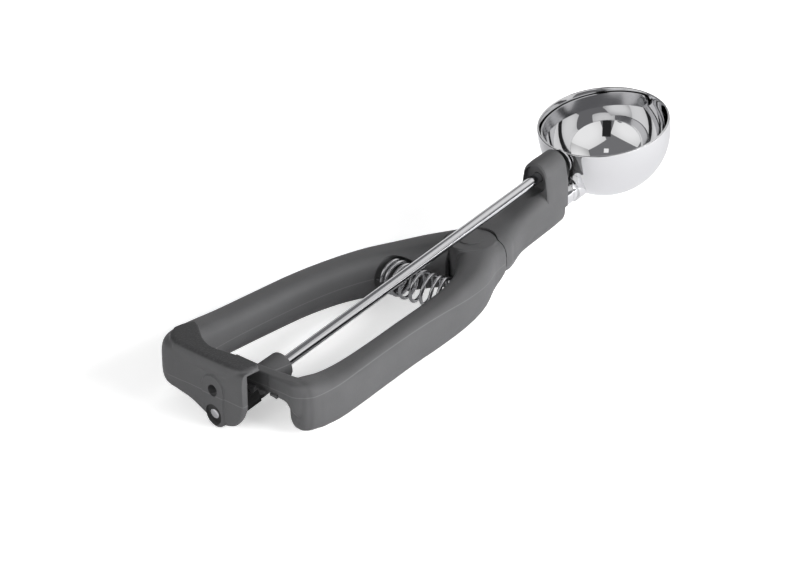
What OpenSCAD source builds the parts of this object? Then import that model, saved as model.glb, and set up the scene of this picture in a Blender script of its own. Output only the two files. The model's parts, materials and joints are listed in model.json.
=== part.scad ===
// Squeeze-handle portion scoop: a polished bowl whose sweeping blade is turned by a
// rack on the moving handle half and a long pinion at the far end of the drive rod.
//
// The working frame has its origin at the centre of the bowl's sphere, +X towards the
// bowl's front, +Y to the left of the tool and +Z up. The two handle halves lie in a
// level plane. The drive rod, the bowl and the neck share a tilted frame, in which X
// runs along the rod. stand() moves the working frame onto the table.

/* [Bowl] */
// Outside diameter of the bowl
bowl_d = 50; // [40:0.5:60]
// Thickness of the pressed steel wall
bowl_wall = 0.8; // [0.6:0.1:1.2]
// Height of the straight band above the half sphere
bowl_band = 3.6; // [2:0.1:6]

/* [Blade] */
// Gap between the blade's corners and the bowl's wall
blade_gap = 0.45; // [0.3:0.05:0.8]
// Width of the blade's strip
blade_w = 5.4; // [4:0.1:8]
// Thickness of the blade's strip
blade_t = 0.6; // [0.4:0.1:1]
// Angle of the parked blade below the rod's level, in degrees
blade_park = 4; // [3:0.5:12]

/* [Drive rod and gear] */
// Diameter of the drive rod
rod_d = 4; // [3.6:0.1:4.4]
// Distance from the bowl's centre to the rod's rear end
rod_reach = 207; // [200:1:215]
// Slope of the rod against the plane of the handle halves, in degrees
rod_tilt = 10.5; // [9:0.5:12]
// Tooth module of the pinion and the rack
gear_module = 1.5; // [1.4:0.05:1.6]
// Length of the toothed part of the pinion
pinion_len = 15; // [13:0.1:15.4]

/* [Handle] */
// Distance from the bowl's centre back to the hinge pin
hinge_back = 75.3; // [74:0.1:77]
// Height of the hinge's middle above the working frame's origin
hinge_z = -28; // [-29:0.1:-27]
// Angle by which the moving half closes when squeezed, in degrees
squeeze_deg = 7.3; // [4:0.1:7.3]
// Diameter of the hinge pin
hinge_pin_d = 5; // [4:0.1:6]
// Width of the neck and the tower
neck_w = 14; // [13:0.5:15]

/* [Return spring] */
// Wire diameter
wire_d = 1.3; // [1:0.1:1.5]
// Diameter of the coil, measured at the wire's middle
coil_d = 10.6; // [9:0.1:12]
// Number of curls
curls = 8; // [6:1:10]

/* [Code plug socket] */
// Diameter of the socket's bore
socket_d = 4.2; // [3.8:0.1:4.6]
// Depth of the socket
socket_depth = 8; // [6:0.5:9]

/* [Hidden] */

eps = 0.01;
run_fit = 0.05;                       // radial clearance of a turning shaft
bowl_r = bowl_d / 2;
bowl_in = bowl_r - bowl_wall;
rod_r = rod_d / 2;

// the working frame's origin, as seen from the table under the tool's middle
stand_shift = [89.785, -2.32, 42.71];

module stand() translate(stand_shift) children();
module on_rod() stand() rotate([0, -rod_tilt, 0]) children();
module at_hinge() stand() translate([-hinge_back, 0, hinge_z]) children();

// ---------- helpers for the moulded sweeps ----------

// one point of a curve that runs through every row of a table, t counted in rows
function through(rows, t) =
    let (last = len(rows) - 1,
         i = min(floor(t), last - 1),
         f = t - i,
         p0 = rows[max(i - 1, 0)],
         p1 = rows[i],
         p2 = rows[i + 1],
         p3 = rows[min(i + 2, last)])
    0.5 * (2 * p1 + (p2 - p0) * f + (2 * p0 - 5 * p1 + 4 * p2 - p3) * f * f
        + (3 * p1 - p0 - 3 * p2 + p3) * f * f * f);

// outline of a rounded bar's section: width along the first axis, height along the second
function bar_section(w, h, n, square) =
    [for (k = [0:n - 1])
        let (a = 360 * (k + 0.5) / n, c = cos(a), s = sin(a))
        [sign(c) * pow(abs(c), 2 / square) * w / 2, sign(s) * pow(abs(s), 2 / square) * h / 2]];

// a closed skin over rings that all have n points, seen counterclockwise from the last ring
module skin(rings) {
    n = len(rings[0]);
    m = len(rings);
    points = [for (r = rings) each r];
    sides = [for (i = [0:m - 2], k = [0:n - 1], half = [0, 1])
        let (a = i * n + k, b = i * n + (k + 1) % n)
        half == 0 ? [a, a + n, b] : [b, a + n, b + n]];
    polyhedron(points, concat([[for (k = [0:n - 1]) k]], sides,
        [[for (k = [n - 1:-1:0]) (m - 1) * n + k]]));
}

// rows: [x, y, z, width, height, squareness]; the sections stay upright and turn with the
// path in plan
module moulded_bar(rows, per_row = 3, n = 20) {
    count = (len(rows) - 1) * per_row;
    step = 1 / per_row;
    skin([for (i = [0:count])
        let (t = i * step,
             p = through(rows, t),
             q0 = through(rows, max(t - 0.1, 0)),
             q1 = through(rows, min(t + 0.1, len(rows) - 1)),
             d = [q1[0] - q0[0], q1[1] - q0[1]] / norm([q1[0] - q0[0], q1[1] - q0[1]]))
        [for (s = bar_section(p[3], p[4], n, p[5]))
            [p[0] - d[1] * s[0], p[1] + d[0] * s[0], p[2] + s[1]]]]);
}

// a straight cylinder along +X that starts at x
module rod_along_x(x, length, r, faces = 48)
    translate([x, 0, 0]) rotate([0, 90, 0]) cylinder(h = length, r = r, $fn = faces);

// ---------- bowl ----------

module bowl_profile()
    difference() {
        union() {
            intersection() {
                circle(r = bowl_r, $fn = 96);
                translate([0, -bowl_r]) square([bowl_r, bowl_r]);
            }
            square([bowl_r, bowl_band]);
        }
        circle(r = bowl_in, $fn = 96);
        translate([-eps, 0]) square([bowl_in + eps, bowl_band + 1]);
        translate([-bowl_r, -bowl_r - 1]) square([bowl_r, bowl_d + 2]);
    }

tip_hole_r = 1.0;

module scoop_bowl()
    color("gainsboro") on_rod() difference() {
        rotate_extrude($fn = 96) bowl_profile();
        rod_along_x(-bowl_r - 1, 3, rod_r + run_fit);
        rod_along_x(bowl_in - 2, 4, tip_hole_r);
    }

// the far pivot of the blade: a headed pin through the bowl's wall
module blade_tip_pin()
    color("silver") on_rod() {
        rod_along_x(blade_r - blade_t - 0.6, bowl_r - blade_r + blade_t + 0.7, tip_hole_r);
        rod_along_x(blade_r - blade_t - 0.85, 0.7, 1.7);
    }

// ---------- blade ----------

blade_r = sqrt(pow(bowl_in - blade_gap, 2) - pow(blade_w / 2, 2));
rivet_r = 1.2;
rivet_lift = 0.1;                      // the flat head stands off the blade's curve

module blade_frame() on_rod() rotate([-blade_park, 0, 0]) children();

module sweep_blade()
    color("whitesmoke") blade_frame() difference() {
        intersection() {
            difference() {
                cylinder(h = blade_w, r = blade_r, center = true, $fn = 96);
                cylinder(h = blade_w + 1, r = blade_r - blade_t, center = true, $fn = 96);
            }
            union() {
                translate([-bowl_r, 0, -bowl_r]) cube([bowl_d, bowl_r, bowl_d]);
                rod_along_x(-bowl_r, bowl_d, blade_w / 2);
            }
        }
        rod_along_x(-bowl_r, 4, rivet_r);
        rod_along_x(bowl_r - 4, 4, tip_hole_r + run_fit);
    }

// the rod's end is turned down, goes through the blade's ear and is riveted over
module blade_rivet()
    color("silver") blade_frame() rod_along_x(-blade_r + blade_t + rivet_lift, 0.7, 1.9);

// ---------- rod and gear ----------

rod_front = -blade_r;
rod_tail = 0.65;                       // brings the rod's end level with the pad round it

module drive_rod()
    color("lightgray") on_rod() difference() {
        union() {
            rod_along_x(-rod_reach - rod_tail, rod_reach + rod_tail + rod_front, rod_r);
            rod_along_x(rod_front - eps, blade_t + rivet_lift + eps, rivet_r);
        }
        translate([pinion_mid, 0, 0])
            cylinder(h = rod_d + 1, r = pin_r, center = true, $fn = 24);
    }

PINION_TEETH = 7;
pitch_r = PINION_TEETH * gear_module / 2;
tip_r = pitch_r + 0.42 * gear_module;
root_r = pitch_r - 0.53 * gear_module;
journal_r = 3.7;
wall_rear = 2.4;                       // thickness of the housing's rear wall
pinion_rear = -rod_reach + wall_rear + 0.4;
pinion_front = pinion_rear + pinion_len;
pin_r = 0.75;
pinion_mid = pinion_front - 2.2;
tooth_pressure = 30;

// one straight-sided tooth that points up
module tooth_outline(r_root, r_pitch, r_tip, half_pitch_w) {
    slope = tan(tooth_pressure);
    polygon([
        [-half_pitch_w - (r_pitch - r_root) * slope, r_root - 0.4],
        [-half_pitch_w - (r_pitch - r_root) * slope, r_root],
        [-half_pitch_w + (r_tip - r_pitch) * slope, r_tip],
        [half_pitch_w - (r_tip - r_pitch) * slope, r_tip],
        [half_pitch_w + (r_pitch - r_root) * slope, r_root],
        [half_pitch_w + (r_pitch - r_root) * slope, r_root - 0.4]]);
}

tooth_half = PI * gear_module / 4 - 0.2;

module pinion_outline() {
    circle(r = root_r, $fn = 48);
    for (k = [0:PINION_TEETH - 1])
        rotate(k * 360 / PINION_TEETH)
            tooth_outline(root_r, pitch_r, tip_r, tooth_half);
}

module drive_pinion()
    color("#202020") on_rod() difference() {
        union() {
            // the outline's up is the rod frame's up
            translate([pinion_rear, 0, 0]) rotate([90, 0, 90])
                linear_extrude(pinion_len) pinion_outline();
            rod_along_x(-rod_reach - 0.25, wall_rear + 0.75, journal_r);
        }
        rod_along_x(-rod_reach - 1, rod_reach, rod_r);
        translate([pinion_mid, 0, 0])
            cylinder(h = 3 * tip_r, r = pin_r, center = true, $fn = 24);
    }

// roll pin that locks the pinion to the rod
module pinion_pin()
    color("silver") on_rod() translate([pinion_mid, 0, 0])
        cylinder(h = 2 * root_r - 0.4, r = pin_r, center = true, $fn = 24);

// takes up the play between the pinion and the bearing nose
module pinion_washer()
    color("white") on_rod() difference() {
        rod_along_x(pinion_front + 0.05, 0.5, 4.2);
        rod_along_x(pinion_front - 1, 3, rod_r + run_fit);
    }

module thrust_washer()
    color("silver") on_rod() difference() {
        rod_along_x(-bowl_r - 0.8, 0.6, 4.8);
        rod_along_x(-bowl_r - 2, 4, rod_r + run_fit);
    }

module front_bush()
    color("#2a2a2a") on_rod() difference() {
        union() {
            rod_along_x(tower_at - 6, 7, bush_r);
            // the collar's back lies flat on the tower's upright front face
            difference() {
                translate([tower_at - 1.3, 0, 0]) rotate([0, 90, 0])
                    cylinder(h = 0.4 - bowl_r - tower_at, r1 = 6, r2 = 5.2, $fn = 48);
                rotate([0, rod_tilt, 0]) translate([tower_x - 19.98, -20, -30]) cube([20, 40, 50]);
            }
        }
        rod_along_x(-bowl_r - 20, 30, rod_r + run_fit);
    }

// ---------- stem ----------

stem_r = 4.9;
stem_sunk = 9;                         // length of the stem inside the tower
stem_z = -13.6;
stem_end = -sqrt(pow(bowl_r, 2) - pow(stem_z, 2));

module stem_axis() translate([0, 0, stem_z]) children();

module bowl_stem()
    color("gainsboro") on_rod() difference() {
        stem_axis() rod_along_x(tower_at - stem_sunk, 20, stem_r);
        sphere(r = bowl_r, $fn = 96);
    }

module stem_ferrule()
    color("lightgray") on_rod() difference() {
        stem_axis() rod_along_x(stem_end - 2.2, 6, stem_r + 0.6);
        sphere(r = bowl_r, $fn = 96);
        stem_axis() rod_along_x(stem_end - 10, 20, stem_r);
    }

// ---------- handle outline ----------

// rows along the fixed half, from the open right end of the gear housing round the rear
// corner, up the left arm, past the hinge and up the neck
fixed_rows = [
    [-199.6, -13.9, -25.2, 9.2, 13.2, 5],
    [-199.6, -12.2, -27.2, 9.2, 17.0, 5],
    [-199.6, -9.8, -28.8, 9.2, 20.0, 5],
    [-199.6, -7.2, -29.8, 9.2, 22.0, 5],
    [-199.6, -3, -30.3, 9.2, 23.0, 5],
    [-199.6, 2, -30.3, 9.2, 22.8, 5],
    [-199.6, 5.5, -29.5, 9.2, 21.2, 5],
    [-199.6, 12, -28.1, 9.2, 18.6, 5],
    [-199.6, 18, -27.4, 9.8, 17.4, 4.5],
    [-198.8, 22.6, -27.3, 11.0, 16.6, 4],
    [-194.6, 25.8, -27.6, 11.6, 15.8, 3.8],
    [-189, 27.6, -28.2, 12.2, 15.2, 3.4],
    [-182, 28.6, -28.9, 12.6, 15.2, 3.2],
    [-170, 29.4, -29.6, 12.4, 14.8, 3.2],
    [-152, 29.8, -29.8, 12.4, 14.8, 3.2],
    [-134, 29.6, -29.8, 12.6, 15.0, 3.2],
    [-118, 28.0, -30.0, 12.8, 15.6, 3.2],
    [-104, 24.6, -30.2, 13.4, 16.8, 3.2],
    [-93, 18.8, -29.8, 14.6, 17.4, 3.4],
    [-83, 11.4, -28.6, 17.0, 17.8, 3.4],
    [-73, 3.6, -27.8, 21.0, 18.0, 3.4],
    [-64, 0.6, -26.5, 20.0, 17.0, 3.4],
    [-54, 0, -24.2, 14.6, 15.2, 3.2],
    [-44, 0, -21.5, neck_w, 16.6, 3.2],
    [-35, 0, -19.4, neck_w, 17.2, 3.2],
    [-29.6, 0, -18.6, neck_w - 0.6, 16.2, 3.2]];

// rows of the moving half, from its rear end to the hinge
lever_rows = [
    [-190.2, -24.0, -31.9, 7.0, 14.6, 3],
    [-189, -24.3, -31.9, 10.4, 17.0, 3.2],
    [-186, -24.8, -32.0, 12.2, 18.0, 3.4],
    [-176, -25.2, -33.2, 12.4, 16.8, 3.4],
    [-164, -24.0, -33.6, 11.6, 16.2, 3.2],
    [-148, -21.6, -33.6, 10.6, 16.2, 3.2],
    [-130, -18.8, -33.4, 10.6, 16.2, 3.2],
    [-114, -16.8, -33.0, 11.0, 16.4, 3.2],
    [-100, -14.8, -31.6, 12.2, 17.0, 3.2],
    [-89, -11.4, -29.8, 14.4, 17.6, 3.4],
    [-80, -6.2, -28.0, 16.6, 17.8, 3.2],
    [-72, -3.5, -27.3, 17.4, 16.6, 3.0],
    [-62, -1.4, -26.4, 16.0, 15.0, 3.0]];

arm_half_h = 9;
eye_r = 9.4;
eye_gap = 0.35;
eye_bevel = 1.8;
cap_r = 4.4;
cap_sunk = 0.4;
tongue_h = 6.4;                        // height of the fixed half's tongue in the hinge
cheek_gap = 0.3;
SHOULDER = [6.4, -7];                  // front corner of the lever's outer wall, from the hinge

// where the return spring's axis meets its two seats
spring_from = [-99, 17.6, -31];
spring_to = [-97, -9.4, -31];
seat_r = coil_d / 2 + wire_d / 2 + 0.5;
peg_r = coil_d / 2 - wire_d / 2 - 0.5;

// children stand at spring_from with the spring's axis as their X
module on_spring()
    translate(spring_from)
        rotate([0, 0, atan2(spring_to[1] - spring_from[1], spring_to[0] - spring_from[0])])
            children();
spring_length = norm(spring_to - spring_from);

// ---------- fixed handle ----------

tower_x = -29.5;                       // front face of the tower
tower_l = 10.5;
tower_at = tower_x / cos(rod_tilt);    // the same face, along the rod
bush_r = 3.4;
house_top = -17.5;
house_rear = -204.2;
deck_t = 2;
web_x = -185.4;                         // rear face of the web that carries the bearing nose
web_t = 3.5;
pocket_left = 21;
socket_up = 9.1;

// the pad round the socket and the rod's end, with a bevelled edge
module boss_pad() {
    up = -rod_reach * sin(rod_tilt);
    hull() {
        for (foot = [[-0.4, up, 4.9], [0.2, up + socket_up, 6.2]])
            translate([house_rear - 0.3, foot[0], foot[1]]) rotate([0, 90, 0]) {
                cylinder(h = 1, r = foot[2] - 1.4, $fn = 32);
                translate([0, 0, 1.6]) cylinder(h = 3, r = foot[2], $fn = 32);
            }
    }
}

// plan of the deck over the gear; its front edge stands as a step above the left arm
DECK_PLAN = [[-200.6, -13.6], [-194.7, -13.2], [-194.6, -9], [-193.9, -4.8], [-195.2, -0.8],
    [-195.6, 5.2], [-195.8, 10.2], [-194.2, 16.5], [-191.4, 20], [-188.7, 22.6],
    [-187.4, 25.6], [-189.6, 28.2], [-195, 28.8], [-199.7, 27.0], [-202.8, 23.8],
    [house_rear, 20.5], [house_rear, 10], [house_rear, 0], [house_rear, -6],
    [-203.6, -9.6], [-202.6, -12.4]];

// a point of the plan, drawn inwards by an inset and lifted to a level
function deck_point(p, inset, z) =
    [-199 + (p[0] + 199) * (1 - inset / 5), 8 + (p[1] - 8) * (1 - inset / 21), z];

// the underside and the top are fans round a point that sees the whole edge
module deck() {
    levels = [[0, -22], [0, house_top - 1.5], [0.4, house_top - 0.6], [1.4, house_top]];
    heart = [-202, 12.9];
    n = len(DECK_PLAN);
    last = len(levels) - 1;
    points = concat([for (l = levels) for (p = DECK_PLAN) deck_point(p, l[0], l[1])],
        [for (l = [levels[0], levels[last]]) deck_point(heart, l[0], l[1])]);
    sides = [for (i = [0 : last - 1]) for (k = [0 : n - 1])
        let (a = i * n + k, b = i * n + (k + 1) % n)
        each [[a, a + n, b], [b, a + n, b + n]]];
    ends = [for (k = [0 : n - 1])
        let (a = k, b = (k + 1) % n, up = last * n)
        each [[a, b, (last + 1) * n], [b + up, a + up, (last + 1) * n + 1]]];
    polyhedron(points, concat(sides, ends));
}

// everything outside the rounded right corner of the rear wall
module rear_corner_cut()
    translate([0, 0, -60]) linear_extrude(60)
        polygon([[-212, -30], [-212, -4], [house_rear, -5], [-203.9, -8.4], [-203.3, -10.8],
            [-202.4, -12.8], [-201, -14.2], [-201, -30]]);

module socket_boss()
    rotate([0, -rod_tilt, 0]) translate([0, 0, socket_up])
        rod_along_x(-rod_reach + 3, socket_depth - 1.4, 3.5);

module bearing_nose()
    rotate([0, -rod_tilt, 0]) translate([web_x / cos(rod_tilt), 0, 0]) rotate([0, 90, 0]) {
        cylinder(h = 13, r1 = 5.3, r2 = 5, $fn = 48);
        translate([0, 0, 13]) cylinder(h = 1.5, r1 = 5, r2 = 4, $fn = 48);
    }

// joins the bearing nose to the left arm, in front of the rack's path
module nose_web()
    hull() {
        rotate([0, -rod_tilt, 0])
            rod_along_x(web_x / cos(rod_tilt) + 0.9, web_t - 0.8, 5.3, 32);
        translate([web_x, 22, -35]) cube([web_t, 4, 8.5]);
    }

module arch(r, w, foot)
    union() {
        circle(r = r, $fn = 48);
        translate([-w / 2, -foot]) square([w, foot - r]);
    }

// the tower at the neck's front end; its outline is an arch round the rod, higher in front
module tower()
    hull() {
        for (at = [[tower_x - tower_l, -7.0, 4.9, 11.6], [tower_x - tower_l + 1.2, -6.4, 5.5, 12.8],
                   [tower_x - 1, -4.7, 5.6, 13.4], [tower_x - 0.4, -4.7, 5.1, 13]])
            translate([at[0], 0, at[1]]) rotate([90, 0, 90])
                linear_extrude(0.4) arch(at[2], at[3] * neck_w / 14, 15);
    }

// the hollow round the rack and the pinion: open to the right, below and in front
module gear_pocket()
    difference() {
        union() {
            translate([house_rear + wall_rear, -20, -60]) cube([web_x - house_rear - wall_rear,
                20 + pocket_left, 60 + house_top - deck_t]);
            rotate([0, -rod_tilt, 0])
                rod_along_x(pinion_rear - 0.4, pinion_len + 0.8, tip_r + 0.5);
        }
        difference() {
            socket_boss();
            rotate([0, -rod_tilt, 0])
                rod_along_x(pinion_rear - 0.4, pinion_len + 0.8, tip_r + 0.4);
        }
    }

// everything of the lever near the hinge, seen from above, grown by a gap; swing is the room
// its inner wall needs when it closes
module lever_hinge_plan(gap, swing = 0, eye = eye_r)
    union() {
        circle(r = eye + gap, $fn = 64);
        polygon([[-40, -40], [-40, 0.4 + swing], [-9, 0.4 + swing], [0, 3],
            [eye_r * 0.62 + gap, 3], [eye_r * 0.66 + gap, -3],
            [SHOULDER[0] + gap, SHOULDER[1]], [SHOULDER[0] + gap, -40]]);
    }

module fixed_handle()
    color("#4b4b4c") difference() {
        stand() union() {
            difference() {
                union() {
                    moulded_bar(fixed_rows);
                    deck();
                    boss_pad();
                }
                gear_pocket();
                rear_corner_cut();
            }
            tower();
            bearing_nose();
            nose_web();
        }
        stand() on_spring() difference() {
            rod_along_x(0, 12, seat_r);
            rod_along_x(-1, 4, peg_r);
        }
        // room for the lever's two cheeks, above and below the tongue
        at_hinge() {
            for (side = [tongue_h / 2, -tongue_h / 2 - 20])
                translate([0, 0, side]) linear_extrude(20) lever_hinge_plan(eye_gap, 1.8);
            linear_extrude(tongue_h + 1, center = true) difference() {
                lever_hinge_plan(eye_gap, 1.8);
                circle(r = eye_r - 0.6, $fn = 64);
                translate([-2, -4]) square([40, 30]);
            }
            cylinder(h = 60, r = hinge_pin_d / 2, center = true, $fn = 48);
        }
        on_rod() {
            rod_along_x(tower_at - 6, 12, bush_r);
            rod_along_x(-60, 60, rod_r + 0.4);
            // the open recess behind the tower
            rod_along_x(-47, 8, neck_w / 2 - 1.8);
            rod_along_x(-rod_reach - 2, 42, rod_r + run_fit);
            rod_along_x(-rod_reach - 2, wall_rear + 4, journal_r + run_fit);
            stem_axis() rod_along_x(tower_at - stem_sunk, 30, stem_r);
            translate([0, 0, socket_up])
                rod_along_x(-rod_reach - 4, socket_depth + 4, socket_d / 2);
        }
    }

// ---------- lever ----------

rack_r = 115.2;                        // middle of the toothed arm, from the hinge
rack_t = 5;
rack_top = -22.8;
rack_step = atan(PI * gear_module / rack_r);
rack_root = pitch_r + 0.52 * gear_module;
rack_tip = pitch_r - 0.42 * gear_module;

// the toothed arm: an arc round the hinge that reaches over the pinion; its underside is the
// cone that the rack's root sweeps
module rack_arm() {
    function root_z(r) = -(r + hinge_back) * tan(rod_tilt) + rack_root / cos(rod_tilt);
    near = rack_r - rack_t / 2;
    far = rack_r + rack_t / 2;
    translate([-hinge_back, 0, 0]) intersection() {
        rotate_extrude($fn = 160)
            polygon([[near, root_z(near)], [far, root_z(far)], [far, rack_top - 0.7],
                [far - 0.7, rack_top], [near + 0.7, rack_top], [near, rack_top - 0.7]]);
        translate([0, 0, -40]) linear_extrude(40)
            polygon([[0, 0], [-140, 4.8 * 140 / rack_r], [-140, -24.6 * 140 / rack_r]]);
    }
}

// one rack tooth, straight along the rod's direction, pointing down at the pinion
module rack_tooth()
    rotate([0, -rod_tilt, 0])
        translate([-(rack_r + hinge_back) / cos(rod_tilt) - rack_t / 2, 0, 0])
            rotate([90, 0, 90]) linear_extrude(rack_t)
                polygon([
                    [-tooth_half - (rack_root - pitch_r) * tan(tooth_pressure), rack_root + 2],
                    [-tooth_half - (rack_root - pitch_r) * tan(tooth_pressure), rack_root],
                    [-tooth_half + (pitch_r - rack_tip) * tan(tooth_pressure), rack_tip],
                    [tooth_half - (pitch_r - rack_tip) * tan(tooth_pressure), rack_tip],
                    [tooth_half + (rack_root - pitch_r) * tan(tooth_pressure), rack_root],
                    [tooth_half + (rack_root - pitch_r) * tan(tooth_pressure), rack_root + 2]]);

module rack_teeth()
    for (k = [-1:3])
        translate([-hinge_back, 0, 0]) rotate([0, 0, (k + 0.5) * rack_step])
            translate([hinge_back, 0, 0]) rack_tooth();

// the round boss round the hinge pin, with a bevelled lower edge
module hinge_eye()
    rotate_extrude($fn = 64)
        polygon([[0, -arm_half_h], [eye_r - eye_bevel, -arm_half_h], [eye_r, -arm_half_h + 1.8 * eye_bevel],
            [eye_r, arm_half_h], [0, arm_half_h]]);

module squeeze_lever()
    color("#515152") difference() {
        stand() union() {
            difference() {
                moulded_bar(lever_rows);
                // the front end stops at the neck and at the fixed half's arm
                translate([-hinge_back, 0, hinge_z - 20]) linear_extrude(40) difference() {
                    translate([-20, -20]) square([60, 60]);
                    lever_hinge_plan(0, eye = eye_r - 0.6);
                }
            }
            rack_arm();
            rack_teeth();
            translate([-hinge_back, 0, hinge_z]) hinge_eye();
        }
        stand() on_spring() difference() {
            rod_along_x(spring_length - 12, 12, seat_r);
            rod_along_x(spring_length - 3, 4, peg_r);
        }
        at_hinge() {
            // the slot that takes the fixed half's tongue
            linear_extrude(tongue_h + 2 * cheek_gap, center = true) union() {
                circle(r = eye_r - 0.25, $fn = 64);
                translate([-2, -4.4]) square([60, 40]);
                translate([-20, 0]) square([60, 40]);
            }
            // clears the pinion and the bearing nose when the lever is closed
            rotate([0, 0, squeeze_deg]) translate([hinge_back, 0, -hinge_z])
                rotate([0, -rod_tilt, 0]) rod_along_x(-rod_reach, 40, tip_r + 0.5);
            cylinder(h = 60, r = hinge_pin_d / 2 + run_fit, center = true, $fn = 48);
            for (side = [0, 1]) mirror([0, 0, side])
                translate([0, 0, arm_half_h - cap_sunk]) cylinder(h = 5, r = cap_r, $fn = 48);
        }
    }

module hinge_pin()
    color("silver") at_hinge()
        cylinder(h = 2 * arm_half_h - 1, r = hinge_pin_d / 2, center = true, $fn = 48);

module hinge_caps()
    color("#404041") at_hinge() for (side = [0, 1]) mirror([0, 0, side])
        translate([0, 0, arm_half_h - cap_sunk]) cylinder(h = cap_sunk + 0.3, r = cap_r, $fn = 48);

// ---------- return spring ----------

RINGS = 8;
SIDES = 6;

module return_spring() {
    steps = curls * RINGS;
    // the curls close up at both ends, and the wire's ends run straight into the seats
    function rise(t) = t - sin(360 * t) / 16;
    function place(i) =
        let (t = min(max(i, 0), steps) / steps, a = 360 * t * curls,
             past = i < 0 ? -wire_d : (i > steps ? wire_d : 0))
        [1.6 * wire_d + rise(t) * (spring_length - 3.2 * wire_d) + past,
            coil_d / 2 * cos(a), coil_d / 2 * sin(a)];
    path = [for (i = [-1:steps + 1]) place(i)];
    last = len(path) - 1;
    rings = [for (i = [0:last])
        let (d = path[min(i + 1, last)] - path[max(i - 1, 0)],
             f = d / norm(d),
             a = 360 * min(max(i - 1, 0), steps) / RINGS,
             out = [0, cos(a), sin(a)],
             side = cross(f, out))
        [for (k = [0:SIDES - 1])
            path[i] + wire_d / 2 * (cos(360 * k / SIDES) * out + sin(360 * k / SIDES) * side)]];
    gap = min([for (i = [0:last - RINGS]) norm(path[i + RINGS] - path[i])]) - wire_d;
    echo(least_gap_between_curls = gap);
    color("silver") stand() on_spring() skin(rings);
}

fixed_handle();
front_bush();
scoop_bowl();
bowl_stem();
stem_ferrule();
blade_tip_pin();
hinge_pin();
hinge_caps();
return_spring();
squeeze_lever();
drive_rod();
drive_pinion();
pinion_pin();
pinion_washer();
thrust_washer();
sweep_blade();
blade_rivet();
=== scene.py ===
"""Looks of a squeeze-handle portion scoop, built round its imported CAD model.

Shapes are drawn in millimetres in the tool's own working frame: the origin is the centre of
the bowl's sphere, +X points forward, +Y to the left and +Z up. Place carries them into the
frame's metres. The drive rod, the bowl and the tower stand in a frame of their own, tilted up
to the front, in which X runs along the rod.
"""

from __future__ import annotations

import json
import logging
import math
from dataclasses import dataclass
from enum import Enum
from typing import Any, Iterable, Sequence

import bmesh
import bpy
import numpy as np
from mathutils import Matrix, Vector

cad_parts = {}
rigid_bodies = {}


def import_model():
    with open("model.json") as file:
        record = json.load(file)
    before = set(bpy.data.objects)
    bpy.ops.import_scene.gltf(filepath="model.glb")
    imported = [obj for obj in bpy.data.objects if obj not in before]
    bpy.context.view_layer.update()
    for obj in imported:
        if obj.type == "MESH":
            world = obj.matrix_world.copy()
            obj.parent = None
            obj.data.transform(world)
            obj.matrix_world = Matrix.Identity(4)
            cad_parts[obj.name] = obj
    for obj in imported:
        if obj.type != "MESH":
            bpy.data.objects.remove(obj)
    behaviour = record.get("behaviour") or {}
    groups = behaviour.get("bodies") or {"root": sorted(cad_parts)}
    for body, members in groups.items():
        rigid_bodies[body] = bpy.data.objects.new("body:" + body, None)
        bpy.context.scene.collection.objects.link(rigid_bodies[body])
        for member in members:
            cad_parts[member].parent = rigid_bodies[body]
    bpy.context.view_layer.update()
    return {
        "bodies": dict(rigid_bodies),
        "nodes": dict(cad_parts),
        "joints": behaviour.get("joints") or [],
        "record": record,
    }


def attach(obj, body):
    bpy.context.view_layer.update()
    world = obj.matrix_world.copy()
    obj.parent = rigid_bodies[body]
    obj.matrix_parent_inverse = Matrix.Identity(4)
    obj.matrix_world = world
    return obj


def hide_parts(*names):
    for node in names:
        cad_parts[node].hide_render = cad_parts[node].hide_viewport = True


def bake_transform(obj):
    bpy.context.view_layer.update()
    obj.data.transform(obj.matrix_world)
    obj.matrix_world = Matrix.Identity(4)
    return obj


LOG = logging.getLogger("scoop")
MM = 0.001
X_AXIS = Vector((1, 0, 0))
UPRIGHT = Matrix.Rotation(math.radians(-90), 4, "Y")
Row = tuple[float, float, float, float, float, float]
Socket = bpy.types.NodeSocket
Thing = bpy.types.Object
Shape = bmesh.types.BMesh
Material = bpy.types.Material


# ---------------------------------------------------------------- colours and shader nodes


def linear(hex_colour: str) -> tuple[float, float, float, float]:
    """Turns an sRGB hex colour into a linear one.

    Args:
        hex_colour: Six hex digits, such as "4B4B4C".

    Returns:
        Linear red, green, blue and an alpha of 1.
    """
    values = [int(hex_colour[i : i + 2], 16) / 255 for i in (0, 2, 4)]
    r, g, b = (v / 12.92 if v <= 0.04045 else ((v + 0.055) / 1.055) ** 2.4 for v in values)
    return (r, g, b, 1.0)


def add_node(tree: bpy.types.NodeTree, kind: str, inputs: dict[Any, Any] | None = None,
             **settings: Any) -> bpy.types.Node:
    """Adds a node with its settings, values and links.

    Args:
        tree: Tree that gets the node.
        kind: Blender's name of the node type.
        inputs: Socket name or number to a value, or to the output socket it is linked from.
        settings: Properties of the node itself.

    Returns:
        The new node.
    """
    node = tree.nodes.new(kind)
    for name, value in settings.items():
        setattr(node, name, value)
    for socket, value in (inputs or {}).items():
        if isinstance(value, Socket):
            tree.links.new(value, node.inputs[socket])
        else:
            node.inputs[socket].default_value = value
    return node


class NodeSketch:
    """A node tree in the making, with short ways to add what is used most."""

    tree: bpy.types.NodeTree

    def add(self, kind: str, inputs: dict[Any, Any] | None = None, output: int | str = 0,
            **settings: Any) -> Socket:
        """Adds a node as add_node does, and gives one of its outputs."""
        return add_node(self.tree, kind, inputs, **settings).outputs[output]

    def maths(self, operation: str, *values: Any) -> Socket:
        """Adds a maths node and gives its output."""
        return self.add("ShaderNodeMath", dict(enumerate(values)), operation=operation)


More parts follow.
